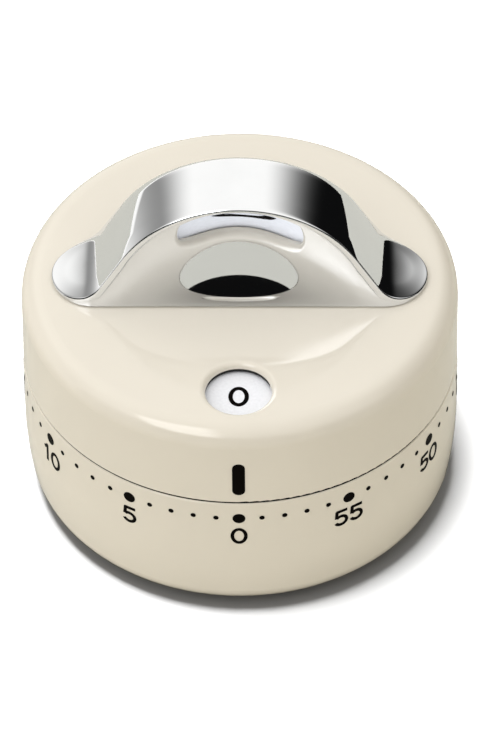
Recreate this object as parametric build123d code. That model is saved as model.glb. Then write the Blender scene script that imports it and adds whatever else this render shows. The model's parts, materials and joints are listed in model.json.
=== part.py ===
"""Sixty-minute mechanical kitchen timer, wound by its round cap with a raised grip bar."""
import math
import os

from build123d import *

os.makedirs("parts", exist_ok=True)

# Outside of the timer: millimetres, heights above the table, front of the timer at -Y
body_radius = 40.0
foot_stand = 1.0            # edge of the drum above the table
seam_height = 29.6          # turning joint between drum and cap
seam_gap = 0.4
seam_round = 0.35
top_height = 47.7           # flat top of the cap
shoulder_radius = 4.1
wall = 2.0
cap_top_wall = 1.8
drum_wall = 2.2
drum_draw_angle = 9.0       # how far the drum leans in above its bottom edge
drum_draw_radius = 73.5
drum_edge_radius = 5.2

# Ring of the drum that stands inside the cap
tongue_height = 2.0
tongue_play = 0.5
tongue_wall = 1.9
tongue_foot = 2.0           # depth of the ring, and of the slope below it, under the seam

# Bottom cover and feet
cover_inset = 6.8           # seat of the cover in from the side
cover_play = 0.3
cover_low, cover_high = 1.2, 2.8
ledge_width = 6.2
ledge_thickness = 1.6
foot_radius = 4.0
foot_sink = 0.5
foot_reach = 25.0
foot_angles = (45, 135, 225, 315)
sound_hole_radius = 1.6
sound_hole_reach = 9.0

# Grip bar
grip_half_length = 34.4
grip_half_depth = 7.9
grip_draft = 2.4            # lean of the front and back faces, degrees
grip_height = 25.3          # crown above the cap
grip_crown_radius = 24.8
grip_riser_angle = 59.5
grip_riser_length = 8.1
grip_foot_radius = 7.0
grip_pad_angle = 26.0
grip_tip_angle = 6.0
grip_edge_round = 0.6
grip_strap = 1.7            # metal left above the finger scoop
grip_plinth = 0.3           # straight foot below the finger scoop
grip_scoop_share = 0.175    # depth of the scoop as a share of its height
grip_scoop_peak = 0.84      # height of its deepest line as a share of its height
grip_scoop_reach = 33.0     # half length over which it fades out
grip_screw_offset = 17.0
grip_boss_radius = 2.6
grip_boss_play = 0.2

# Window and markings
window_offset = 28.4
window_radius = 6.05
window_round = 1.1
print_thickness = 0.06
big_dot_radius = 1.17
small_dot_radius = 0.49
dot_drop = 3.9              # seam to the row of minute dots
dial_digit_height = 4.1
dial_digit_drop = 4.6       # dot row to middle of the dial numerals
disc_digit_height = 4.9
index_width = 2.35
index_length = 8.0
index_rise = 2.3            # seam to the lower end of the index bar

# Levels of the movement
bell_low, bell_high = 5.0, 13.5
bell_flange_low = 14.6
hammer_low, hammer_thickness = 14.3, 0.9
lower_plate_low, lower_plate_high = 16.0, 17.2
upper_plate_low, upper_plate_high = 30.2, 31.4
third_wheel_low = 17.8
spring_low, spring_high = 19.4, 24.4
escape_wheel_low = 20.5
balance_low = 22.6
main_wheel_low = 25.2
main_wheel_thickness = 1.0
second_wheel_low = 28.2
wheel_thickness = 0.8
washer_thickness = 1.0
collar_thickness = 1.6

# Number disc below the cap
disc_gap = 0.4
disc_thickness = 0.8
disc_dish = 4.7             # web of the disc below the underside of the cap
disc_web = 1.2
disc_bore = 9.0
disc_edge_play = 1.6
disc_window_margin = 1.85   # flat rim of the disc past the window
disc_post_reach = 16.0
disc_post_angles = (0, 120, 240)

# Going train
main_teeth, main_module = 72, 0.5
second_teeth, second_module = 60, 0.4
third_teeth, third_module = 60, 0.35
pinion_leaves = 12
pinion_overlap = 0.3        # pinion past each face of the wheel that drives it
mesh_play = 0.06            # extra centre distance of each mesh
wheel_bore = 0.75
pivot_radius = 0.6
escape_teeth = 20
escape_radius = 6.0
balance_distance = 9.2
plate_margin = 4.94         # plate past the circle of arbors
pillar_inset = 2.8
pillar_angles = (35, 240, 345)
post_inset = 2.2            # posts of the drum in from the seat of the cover
post_angles = (60, 180, 300)
post_radius = 3.2
arbor_radius = 2.5
arbor_pivot = 1.5
arbor_flat_depth = 0.7
hub_wall = 3.5
fit = 0.03                  # running and sliding fits

# Screws, rivets and pegs
small_screw = 1.0
large_screw = 1.1
screw_play = 0.2
rivet_radius = 0.8
peg_radius = 0.45
stop_inset = 1.5            # stop pegs in from the step of the number disc
stop_pin_angle = 60.0
bell_radius = 21.0
bell_rivet_reach = 6.0
bell_rivet_radius = 1.0
bell_rivet_angles = (90, 210, 330)
hammer_pivot_radius = 1.0
click_reach, click_angle = 11.6, 230.0
spring_step = 0.42          # growth of the mainspring in half a turn
spring_strip = 0.3
spring_halves = 15


def polar(radius, degrees, z=0.0):
    """Point at a radius and an angle from +X, counted towards +Y."""
    angle = math.radians(degrees)
    return (radius * math.cos(angle), radius * math.sin(angle), z)


def ring_places(radius, angles):
    """Places in plan on one circle."""
    return [polar(radius, angle)[:2] for angle in angles]


def direction(start, end):
    """Angle in degrees from one place to another."""
    return math.degrees(math.atan2(end[1] - start[1], end[0] - start[0]))


def chord_angle(chord, radius):
    """Angle at the middle of a circle that a chord spans."""
    return 2 * math.degrees(math.asin(chord / 2 / radius))


def mesh_turn(driver_teeth, driver_turn, line):
    """Turn of a pinion whose gap meets the driver's tooth on the line of centres."""
    pitch = 360.0 / driver_teeth
    off = ((driver_turn - line + pitch / 2) % pitch) - pitch / 2
    gap = 180.0 / pinion_leaves
    return line + 180.0 + gap - off * driver_teeth / pinion_leaves


# Sizes and levels that follow from the ones above
cap_low = seam_height + seam_gap / 2
drum_high = seam_height - seam_gap / 2
dial_height = seam_height - dot_drop
cap_inner = body_radius - wall
cap_under = top_height - cap_top_wall
tongue_outer = cap_inner - tongue_play
tongue_inner = tongue_outer - tongue_wall
cover_seat = body_radius - cover_inset
ledge_high = cover_high + ledge_thickness
collar_low = upper_plate_high + washer_thickness
collar_high = collar_low + collar_thickness
hub_radius = arbor_radius + hub_wall
clip_low, clip_high = collar_high + 2.0, collar_high + 2.9
clip_groove = hub_radius - 0.8
disc_high = cap_under - disc_gap
disc_low = disc_high - disc_thickness
disc_web_high = cap_under - disc_dish
disc_web_low = disc_web_high - disc_web
disc_rim_inner = window_offset - window_radius - disc_window_margin
disc_outer = cap_inner - disc_edge_play
stop_reach = disc_rim_inner - stop_inset

# Places of the train: the arbors stand on one circle round the main arbor
second_reach = (main_teeth + pinion_leaves) * main_module / 2 + mesh_play
third_reach = (second_teeth + pinion_leaves) * second_module / 2 + mesh_play
escape_reach = (third_teeth + pinion_leaves) * third_module / 2 + mesh_play
second_angle = 90.0
third_angle = second_angle + chord_angle(third_reach, second_reach)
escape_angle = third_angle + chord_angle(escape_reach, second_reach)
balance_angle = escape_angle + chord_angle(balance_distance, second_reach)
second_place = polar(second_reach, second_angle)[:2]
third_place = polar(second_reach, third_angle)[:2]
escape_place = polar(second_reach, escape_angle)[:2]
balance_place = polar(second_reach, balance_angle)[:2]
second_turn = mesh_turn(main_teeth, 0.0, second_angle)
third_turn = mesh_turn(second_teeth, second_turn, direction(second_place, third_place))
escape_turn = mesh_turn(third_teeth, third_turn, direction(third_place, escape_place))

plate_radius = second_reach + plate_margin
pillar_places = ring_places(plate_radius - pillar_inset, pillar_angles)
post_reach = cover_seat - post_inset
post_places = ring_places(post_reach, post_angles)
foot_places = ring_places(foot_reach, foot_angles)
disc_post_places = ring_places(disc_post_reach, disc_post_angles)
bell_rivet_places = ring_places(bell_rivet_reach, bell_rivet_angles)
grip_screw_places = [(-grip_screw_offset, 0), (grip_screw_offset, 0)]
hammer_place = polar(bell_radius + 2.4, 312.0)[:2]
hammer_head_place = polar(bell_radius + 2.7, 282.0)[:2]
click_place = polar(click_reach, click_angle)[:2]
spring_inner = arbor_radius + 0.45
spring_post_place = (0, -(spring_inner + (spring_halves - 1) * spring_step + 1.87))
stop_pin_place = polar(stop_reach, stop_pin_angle)[:2]
stop_post_place = polar(stop_reach, stop_pin_angle + chord_angle(2 * peg_radius + fit, stop_reach))[:2]


def save(name, *solids):
    """Write one named piece, or one group of like pieces, to its own file."""
    shape = solids[0] if len(solids) == 1 else Compound(children=list(solids))
    shape.label = name
    export_step(shape, os.path.join("parts", name + ".step"))


def rod(place, low, high, radius):
    """Upright round rod."""
    return Pos(*place, (low + high) / 2) * Cylinder(radius, high - low)


def tube(place, low, high, outer, inner):
    """Upright round tube."""
    return rod(place, low, high, outer) - rod(place, low - 1, high + 1, inner)


def outline(points):
    """Straight edges joining points given as (radius, height)."""
    corners = [(r, 0, z) for r, z in points]
    return [Line(a, b) for a, b in zip(corners[:-1], corners[1:])]


def quarter(radius, high, bend):
    """Quarter arc in the XZ plane from a level top at a height to an upright side at a radius."""
    flat, rise = radius - bend, bend * math.sqrt(0.5)
    return ThreePointArc((flat, 0, high), (flat + rise, 0, high - bend + rise), (radius, 0, high - bend))


def turned(*edges):
    """Body of revolution about Z from an outline in the XZ plane."""
    return revolve(make_face(Curve() + list(edges)), Axis.Z)


def lathe(points):
    """Body of revolution about Z from corners given as (radius, height)."""
    return turned(*outline(list(points) + [points[0]]))


def rim_edges(body, height, radius):
    """Round edges of a body at one height and radius."""
    level = body.edges().filter_by(GeomType.CIRCLE).filter_by_position(Axis.Z, height - 0.01, height + 0.01)
    return [edge for edge in level if abs(edge.radius - radius) < 0.01]


def screw(place, seat, down, length, shank, head, head_high):
    """Pan-head screw: its head stands on the seat and its shank points away from it."""
    sign = -1 if down else 1
    tip, crown = seat + sign * length, seat - sign * head_high
    body = rod(place, min(seat, tip), max(seat, tip), shank)
    body += rod(place, min(seat, crown), max(seat, crown), head)
    return body - Pos(*place, crown) * Box(2 * head + 1, 0.5, 0.8)


def toothed(teeth, module, share, addendum, dedendum):
    """Flat outline of a gear with straight-sided teeth, one tooth centred on +X."""
    pitch = teeth * module / 2
    tip, root = pitch + addendum * module, pitch - dedendum * module
    half = share * math.pi / teeth
    lean = math.tan(math.radians(20.0))
    half_tip = half - addendum * module * lean / pitch
    half_root = half + dedendum * module * lean / pitch * 0.55
    flank = ((root, -half_root), (pitch, -half), (tip, -half_tip),
             (tip, half_tip), (pitch, half), (root, half_root))
    points = []
    for tooth in range(teeth):
        middle = 360.0 * tooth / teeth
        for radius, turn in flank:
            points.append(polar(radius, middle + math.degrees(turn)))
    return make_face(Polyline(*points, close=True))


def wheel(place, low, teeth, module, turn):
    """Spoked gear wheel with four arms, seated on an arbor."""
    flat = Rot(0, 0, turn) * toothed(teeth, module, 0.42, 0.85, 1.25)
    pitch = teeth * module / 2
    rim = pitch - 2.6 * module - 0.6
    hub = max(wheel_bore + 1.2, pitch * 0.204)
    gap = Circle(rim) - Circle(hub)
    for arm in range(2):
        gap -= Rot(0, 0, 90 * arm) * Rectangle(2 * rim + 2, 1.8)
    flat -= Circle(wheel_bore)
    flat -= gap
    return Pos(*place, low) * extrude(flat, wheel_thickness)


def copies(places, piece, *sizes):
    """One like piece at each place."""
    return [piece(place, *sizes) for place in places]


def link(start, start_radius, end, end_radius):
    """Flat lever with a round eye at each end."""
    return make_hull([Pos(*start) * Circle(start_radius).edge(), Pos(*end) * Circle(end_radius).edge()])


def bar(start, end, width):
    """Straight printed stroke with square ends."""
    length = math.dist(start, end)
    middle = ((start[0] + end[0]) / 2, (start[1] + end[1]) / 2)
    return Pos(*middle) * Rot(0, 0, direction(start, end)) * Rectangle(length, width)


def bow(centre, rx, ry, start, end, width):
    """Curved printed stroke: part of an elliptical ring between two angles."""
    ring = Ellipse(rx + width / 2, ry + width / 2) - Ellipse(rx - width / 2, ry - width / 2)
    if end - start < 360:
        steps = 6
        fan = [polar(2 * rx + 1, start + (end - start) * i / steps)[:2] for i in range(steps + 1)]
        ring &= make_face(Polyline((0, 0), *fan, close=True))
    return Pos(*centre) * ring


def digit_face(digit, ink):
    """One digit of even stroke width, drawn in a cell one high, centred on the origin."""
    if digit == 0:
        return bow((0, 0), 0.30, 0.42, 0, 360, ink)
    if digit == 1:
        return bar((0.06, -0.5), (0.06, 0.5), ink) + bar((0.06, 0.41), (-0.20, 0.20), ink)
    if digit == 2:
        return (bow((0, 0.20), 0.26, 0.22, -38, 178, ink) + bar((0.24, 0.10), (-0.27, -0.44), ink)
                + bar((-0.34, -0.42), (0.34, -0.42), ink))
    if digit == 3:
        return (bow((-0.01, 0.21), 0.23, 0.21, -90, 165, ink)
                + bow((-0.01, -0.20), 0.27, 0.22, -165, 90, ink))
    if digit == 4:
        return (bar((0.14, -0.5), (0.14, 0.5), ink) + bar((0.12, 0.46), (-0.33, -0.22), ink)
                + bar((-0.36, -0.24), (0.36, -0.24), ink))
    return (bow((-0.02, -0.16), 0.28, 0.26, -155, 142, ink) + bar((0.29, 0.42), (-0.25, 0.42), ink)
            + bar((-0.21, 0.46), (-0.25, 0.00), ink))


def number_face(number, height):
    """Flat printed number, upright and centred on the origin, one face for each digit."""
    digits = [int(c) for c in str(number)]
    advance, ink = 0.77, 0.16
    faces = []
    for place, digit in enumerate(digits):
        shift = (place - (len(digits) - 1) / 2) * advance
        faces.append(Pos(shift * height, 0) * scale(digit_face(digit, ink), height))
    return faces


def drum_shell():
    """Moulded lower drum: cylinder by the print, drawn in towards a rounded bottom edge."""
    lean = math.sin(math.radians(drum_draw_angle))
    start = foot_stand + drum_edge_radius * (1 - lean) + drum_draw_radius * lean
    inside = body_radius - drum_wall
    outer = JernArc((body_radius, start), (0, -1), drum_draw_radius, -drum_draw_angle)
    edge = JernArc(outer @ 1, outer % 1, drum_edge_radius, drum_draw_angle - 90)
    inner = JernArc((inside, start), (0, -1), drum_draw_radius - drum_wall, -drum_draw_angle)
    corner = JernArc(inner @ 1, inner % 1, drum_edge_radius - drum_wall, drum_draw_angle - 90)
    end, floor = edge @ 1, corner @ 1
    ledge_inner = cover_seat - ledge_width
    lip = [(end.X, end.Y), (cover_seat, foot_stand), (cover_seat, cover_high), (ledge_inner, cover_high),
           (ledge_inner, ledge_high), (cover_seat, ledge_high), (cover_seat, floor.Y), (floor.X, floor.Y)]
    top = [(inside, start), (inside, drum_high - 2 * tongue_foot), (tongue_inner, drum_high - tongue_foot),
           (tongue_inner, drum_high + tongue_height), (tongue_outer, drum_high + tongue_height),
           (tongue_outer, drum_high), (body_radius, drum_high), (body_radius, start)]
    section = make_face(Curve() + [outer, edge, corner, inner, Polyline(*lip), Polyline(*top)])
    body = revolve(Plane.XZ * section, Axis.Z)
    body = fillet(rim_edges(body, drum_high, body_radius), seam_round)
    for place in post_places:
        body += rod(place, ledge_high - 0.4, lower_plate_low, post_radius)
    for place in post_places:
        body -= rod(place, cover_low, lower_plate_low + 1, large_screw)
    return body


def base_cover():
    """Bottom cover with sound holes, screw holes and seats for the feet."""
    body = rod((0, 0), cover_low, cover_high, cover_seat - cover_play)
    for place in [(0, 0)] + ring_places(sound_hole_reach, range(0, 360, 45)):
        body -= rod(place, cover_low - 1, cover_high + 1, sound_hole_radius)
    for place in post_places:
        body -= rod(place, cover_low - 1, cover_high + 1, large_screw + screw_play)
        body -= rod(place, cover_low - 1, cover_low + 0.9, large_screw + 0.65)
    for place in foot_places:
        body -= rod(place, cover_low - 1, cover_low + foot_sink, foot_radius + 0.1)
    return body


def arbor_flat(play):
    """Block left in the hub's bore, or taken off the arbor, where the drive flat is."""
    low, high = collar_high + 0.5, cap_under - 0.4
    return Pos(0, arbor_radius - arbor_flat_depth + play + 2, (low + high) / 2) * Box(10, 4, high - low)


def top_cap():
    """Turning cap: flat glossy top with a rounded shoulder, window, hub and seats for the grip."""
    bend, inner_bend = shoulder_radius, shoulder_radius - wall
    lines = outline([(0, cap_under), (0, top_height), (body_radius - bend, top_height)])
    lines += outline([(body_radius, top_height - bend), (body_radius, cap_low), (cap_inner, cap_low),
                      (cap_inner, cap_under - inner_bend)])
    lines += outline([(cap_inner - inner_bend, cap_under), (0, cap_under)])
    body = turned(*lines, quarter(body_radius, top_height, bend), quarter(cap_inner, cap_under, inner_bend))
    body = fillet(rim_edges(body, cap_low, body_radius), seam_round)
    body += rod((0, 0), collar_high, cap_under + 0.5, hub_radius)
    body -= rod((0, 0), collar_high - 1, cap_under - 0.3, arbor_radius + fit) - arbor_flat(fit)
    body -= tube((0, 0), clip_low, clip_high, hub_radius + 2, clip_groove)
    body -= rod((0, -window_offset), cap_under - 1, top_height + 1, window_radius)
    body = fillet(rim_edges(body, top_height, window_radius), window_round)
    for place in grip_screw_places:
        body -= rod(place, cap_under - 1, top_height + 1, grip_boss_radius + grip_boss_play)
    return body - rod(stop_pin_place, cap_under - 1, cap_under + 0.9, peg_radius)


def grip_profile():
    """Upper outline of one half of the grip, from the crown to the tip, in its own front plane."""
    crown = JernArc((0, grip_height), (1, 0), grip_crown_radius, -grip_riser_angle)
    riser = Line(crown @ 1, crown @ 1 + (crown % 1) * grip_riser_length)
    foot = JernArc(riser @ 1, riser % 1, grip_foot_radius, grip_riser_angle - grip_pad_angle)
    run = grip_half_length - (foot @ 1).X
    turn = math.sin(math.radians(grip_pad_angle)) - math.sin(math.radians(grip_tip_angle))
    pad = JernArc(foot @ 1, foot % 1, run / turn, grip_pad_angle - grip_tip_angle)
    return crown, riser, foot, pad


def grip_depth(height):
    """Half the depth of the grip at a height above the cap."""
    return grip_half_depth - height * math.tan(math.radians(grip_draft))


def scoop_bowl(share):
    """Depth of the scoop up its height: a soft foot, a long hollow and a short undercut below the strap."""
    rise = share / grip_scoop_peak
    if rise > 1:
        return 1 - ((share - grip_scoop_peak) / (1 - grip_scoop_peak)) ** 2
    return rise**1.13 * (2.13 - 1.13 * rise)


def scoop_section(side, x, brow):
    """Outline of the cutter at one station: the hollow, closed by three lines outside the grip."""
    height = brow - grip_plinth
    depth = grip_scoop_share * height * (1 - (x / grip_scoop_reach) ** 2)
    points = []
    for share in (0, 0.1, 0.25, 0.45, 0.65, grip_scoop_peak, 0.93, 1):
        z = grip_plinth + share * height
        points.append((x, side * (grip_depth(z) - depth * scoop_bowl(share)), top_height + z))
    far = side * (grip_half_depth + 4)
    back = Polyline(points[-1], (x, far, top_height + brow), (x, far, top_height + grip_plinth), points[0])
    return make_face(Curve() + [Spline(*points), back])


def scoop_cutter(side):
    """Finger scoop, lofted through stations along the strap."""
    crown, riser, foot, _ = grip_profile()
    stations = [(crown, 0.167), (crown, 0.5), (crown, 0.833), (riser, 0.3), (riser, 0.9), (foot, 0.5)]
    right = []
    for edge, share in stations:
        point, slope = edge @ share, edge % share
        right.append((point.X + slope.Y * grip_strap, point.Y - slope.X * grip_strap))
    places = [(-x, z) for x, z in reversed(right)] + right
    return loft([scoop_section(side, x, z) for x, z in places])


def upper_edges(body):
    """Edges round the top of the grip: not the upright ones, and not the lines across its depth."""
    kept = []
    for edge in body.edges():
        box = edge.bounding_box()
        upright = box.size.X < 0.01 and box.size.Y < 0.01
        across = box.size.X < 0.01 and box.size.Y > grip_half_depth
        if box.min.Z > top_height + 0.3 and not upright and not across:
            kept.append(edge)
    return kept


def grip():
    """Chromed grip bar: bell-shaped from the front, stadium-shaped from above, scooped on both faces."""
    edges = list(grip_profile())
    tip = edges[-1] @ 1
    edges += [Line(tip, (tip.X, 0)), Line((tip.X, 0), (0, 0)), Line((0, 0), (0, grip_height))]
    half = make_face(Curve() + edges)
    flat = half + mirror(half, Plane.YZ)
    slab = extrude(Pos(0, grip_half_depth, top_height) * (Plane.XZ * flat), 2 * grip_half_depth)
    plan = SlotOverall(2 * grip_half_length, 2 * grip_half_depth)
    body = slab & (Pos(0, 0, top_height) * extrude(plan, grip_height + 5, taper=grip_draft))
    body = fillet(upper_edges(body), grip_edge_round)
    for side in (-1, 1):
        body -= scoop_cutter(side)
    for place in grip_screw_places:
        body += rod(place, cap_under, top_height + 0.5, grip_boss_radius)
    for place in grip_screw_places:
        body -= rod(place, cap_under - 1, top_height + 7.0, small_screw)
    return body


def number_disc():
    """Fixed white dial below the cap, dished so that its flat rim runs just under the window."""
    neck = disc_rim_inner + disc_web
    body = lathe([(disc_bore, disc_web_low), (neck, disc_web_low), (neck, disc_low), (disc_outer, disc_low),
                  (disc_outer, disc_high), (disc_rim_inner, disc_high), (disc_rim_inner, disc_web_high),
                  (disc_bore, disc_web_high)])
    for place in disc_post_places:
        body -= rod(place, disc_web_low - 1, disc_web_high + 1, small_screw + 0.3)
    return body - rod(stop_post_place, disc_web_low - 1, disc_web_high + 1, peg_radius)


def plate(low, high, ears, bores):
    """Movement plate: round, with ears for the posts of the drum and a bore for every pivot."""
    flat = Circle(plate_radius)
    if ears:
        inner = plate_radius - 10
        for place, angle in zip(post_places, post_angles):
            flat += Pos(*place) * Circle(post_radius + 0.4)
            arm = Rectangle(post_reach - inner, 2 * post_radius + 0.8)
            flat += Rot(0, 0, angle) * Pos((post_reach + inner) / 2, 0) * arm
    for place, radius in bores:
        flat -= Pos(*place) * Circle(radius)
    return Pos(0, 0, low) * extrude(flat, high - low)


def half_ring(centre, radius, width, side):
    """Half of a flat ring on one side of the X axis."""
    ring = Circle(radius + width / 2) - Circle(radius - width / 2)
    return Pos(centre, 0) * (ring & Pos(0, side * 25) * Rectangle(100, 50))


def mainspring():
    """Spring strip wound as half circles that grow by the same step."""
    radius, centre, side = spring_inner, 0.0, 1
    strip = half_ring(centre, radius, spring_strip, side)
    for turn in range(spring_halves - 1):
        centre -= side * spring_step
        radius += spring_step
        side = -side
        strip += half_ring(centre, radius, spring_strip, side)
    return Pos(0, 0, spring_low) * extrude(strip, spring_high - spring_low)


def escape_wheel():
    """Saw-toothed escape wheel."""
    root = escape_radius - 1.3
    points = []
    for tooth in range(escape_teeth):
        middle = 360.0 * tooth / escape_teeth
        points.append(polar(escape_radius, middle))
        points.append(polar(root, middle + 3.0))
        points.append(polar(root, middle + 9.0))
    flat = make_face(Polyline(*points, close=True)) - Circle(wheel_bore)
    gap = Circle(root - 0.7) - Circle(wheel_bore + 1.25)
    for arm in range(2):
        gap -= Rot(0, 0, 90 * arm) * Rectangle(2 * root, 1.0)
    return Pos(*escape_place, escape_wheel_low) * extrude(flat - gap, wheel_thickness)


def arbor_rod(place):
    """Plain arbor between the plates with a pivot at each end."""
    body = rod(place, lower_plate_high + 0.2, upper_plate_low - 0.2, wheel_bore)
    return body + rod(place, lower_plate_low, upper_plate_high, pivot_radius)


def train_arbor(place, wheel_low, wheel_deep, module, turn):
    """Steel arbor with a pinion cut in one piece, a little longer than the wheel that drives it."""
    flat = Rot(0, 0, turn) * toothed(pinion_leaves, module, 0.40, 0.80, 1.25)
    leaves = extrude(flat, wheel_deep + 2 * pinion_overlap)
    return arbor_rod(place) + Pos(*place, wheel_low - pinion_overlap) * leaves


def main_arbor():
    """Winding arbor from the lower plate to the hub of the cap, with a collar and a drive flat."""
    body = rod((0, 0), lower_plate_high + 0.1, cap_under - 0.6, arbor_radius)
    body += rod((0, 0), lower_plate_low + 0.1, lower_plate_high + 0.5, arbor_pivot)
    body += rod((0, 0), collar_low, collar_high, arbor_radius + 1.5)
    return body - arbor_flat(0)


def ratchet_wheel():
    """Small saw-toothed wheel on the arbor that lets the cap be wound without turning the train."""
    tip, teeth = arbor_radius + 3.7, 16
    points = []
    for tooth in range(teeth):
        points.append(polar(tip, 360.0 * tooth / teeth))
        points.append(polar(tip - 1.2, 360.0 * tooth / teeth + 1.5))
    flat = make_face(Polyline(*points, close=True)) - Circle(arbor_radius)
    return Pos(0, 0, main_wheel_low + main_wheel_thickness) * extrude(flat, 0.9)


def click():
    """Pawl riveted to the main wheel, its nose in a tooth of the ratchet wheel."""
    flat = link(click_place, 1.5, polar(arbor_radius + 4.4, 200.0)[:2], 0.45)
    flat -= Pos(*click_place) * Circle(rivet_radius)
    return Pos(0, 0, main_wheel_low + main_wheel_thickness) * extrude(flat, 0.8)


def click_spring():
    """Bent wire that presses the click towards the ratchet wheel."""
    strip = bow((0, 0), click_reach + 2.0, click_reach + 2.0, 205, 265, 0.35)
    return Pos(0, 0, main_wheel_low + main_wheel_thickness) * extrude(strip, 0.8)


def main_wheel():
    """Large brass wheel driven by the arbor through ratchet and click."""
    flat = toothed(main_teeth, main_module, 0.42, 0.85, 1.25) - Circle(arbor_radius + fit)
    for angle in range(20, 380, 60):
        if abs(angle - click_angle) > 40:
            flat -= Pos(*polar(click_reach - 1.0, angle)[:2]) * Circle(3.4)
    flat -= Pos(*click_place) * Circle(rivet_radius)
    return Pos(0, 0, main_wheel_low) * extrude(flat, main_wheel_thickness)


def pallet_anchor():
    """Two-armed anchor with a pin at each end, standing just clear of the escape wheel."""
    towards = direction(balance_place, escape_place)
    flat = Circle(1.5)
    pins = []
    for side in (-1, 1):
        tip = polar(balance_distance / 2, towards + side * 58.0)[:2]
        flat += link((0, 0), 1.0, tip, 0.6)
        pins.append((balance_place[0] + tip[0], balance_place[1] + tip[1]))
    flat -= Circle(wheel_bore)
    body = Pos(*balance_place, escape_wheel_low - 0.9) * extrude(flat, 0.7)
    for place in pins:
        body += rod(place, escape_wheel_low - 0.4, escape_wheel_low + 1.0, 0.3)
    return body


def balance_wheel():
    """Rimmed balance with two arms."""
    rim = 6.4
    flat = Circle(rim) - Circle(rim - 1.2) + Rectangle(2 * rim - 1.8, 1.2) + Circle(1.7) - Circle(wheel_bore)
    return Pos(*balance_place, balance_low) * extrude(flat, 1.0)


def hammer_arm():
    """Flat arm that swings below the lower plate and carries the hammer head."""
    flat = link(hammer_place, 2.0, hammer_head_place, 1.4)
    flat -= Pos(*hammer_place) * Circle(hammer_pivot_radius + fit)
    flat -= Pos(*hammer_head_place) * Circle(rivet_radius)
    return Pos(0, 0, hammer_low) * extrude(flat, hammer_thickness)


def hammer_head():
    """Round head that hangs beside the bell, riveted to the arm."""
    body = rod(hammer_head_place, bell_low + 2.0, hammer_low - 0.4, 1.8)
    return body + rod(hammer_head_place, hammer_low - 1.3, hammer_low + hammer_thickness, rivet_radius)


def hammer_pivot():
    """Shouldered stud that carries the hammer arm below the lower plate."""
    body = rod(hammer_place, hammer_low - 0.3, lower_plate_high, hammer_pivot_radius)
    return body + rod(hammer_place, hammer_low - 1.1, hammer_low - 0.1, hammer_pivot_radius + 0.7)


def bell():
    """Steel bell cup, open downwards, hung from its middle."""
    thick, bend, bore = 0.8, 5.0, 1.6
    inner, inside = bell_radius - thick, bell_high - thick
    flat = bell_radius - bend
    lines = outline([(bell_radius, bell_high - bend), (bell_radius, bell_low),
                     (inner, bell_low), (inner, bell_high - bend)])
    lines += outline([(flat, inside), (bore, inside), (bore, bell_high), (flat, bell_high)])
    return turned(*lines, quarter(bell_radius, bell_high, bend), quarter(inner, inside, bend - thick))


def bell_post():
    """Stepped post that hangs the bell from the lower plate."""
    flange = bell_rivet_reach + 1.6
    body = lathe([(0, bell_high), (3.2, bell_high), (3.2, bell_flange_low), (flange, bell_flange_low),
                  (flange, lower_plate_low), (0, lower_plate_low)])
    body -= rod((0, 0), bell_high - 1, bell_high + 1.5, 1.2)
    for place in bell_rivet_places:
        body -= rod(place, bell_flange_low - 0.6, lower_plate_low + 1.0, bell_rivet_radius)
    return body


def radial_print(faces, azimuth, height):
    """Printed shape wrapped on the side wall, seen upright from outside at an angle from the front."""
    skin = tube((0, 0), height - 8, height + 12, body_radius + print_thickness, body_radius)
    place = Rot(0, 0, azimuth) * Pos(0, -body_radius + 2, height) * Rot(90, 0, 0)
    marks = []
    for face in faces:
        marks.extend(((place * extrude(face, 4)) & skin).solids())
    return marks


def dial_dots():
    """Sixty minute dots, every fifth one larger."""
    marks = []
    for minute in range(60):
        radius = big_dot_radius if minute % 5 == 0 else small_dot_radius
        marks += radial_print([Circle(radius)], -6.0 * minute, dial_height)
    return marks


def dial_numerals():
    """Numbers 0 to 55 below the larger dots."""
    marks = []
    for number in range(0, 60, 5):
        faces = number_face(number, dial_digit_height)
        marks += radial_print(faces, -6.0 * number, dial_height - dial_digit_drop)
    return marks


def disc_numerals():
    """Numbers 0 to 55 on the fixed disc, read through the window."""
    marks = []
    for number in range(0, 60, 5):
        place = Rot(0, 0, -6.0 * number) * Pos(0, -window_offset, disc_high)
        for face in number_face(number, disc_digit_height):
            marks += (place * extrude(face, print_thickness)).solids()
    return marks


def index_mark():
    """Upright bar with round ends on the cap, above the seam."""
    mark = Rot(0, 0, 90) * SlotOverall(index_length, index_width)
    return radial_print([mark], 0.0, seam_height + index_rise + index_length / 2)[0]


def build_case():
    """Write the drum, its cover and feet, and its print."""
    save("drum_shell", drum_shell())
    save("base_cover", base_cover())
    cover_head = large_screw + 0.6
    save("base_screws", *copies(post_places, screw, cover_low + 0.9, False, 8.0, large_screw, cover_head, 0.8))
    save("rubber_feet", *copies(foot_places, rod, 0, cover_low + foot_sink, foot_radius))
    save("dial_dots", *dial_dots())
    save("dial_numerals", *dial_numerals())


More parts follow.
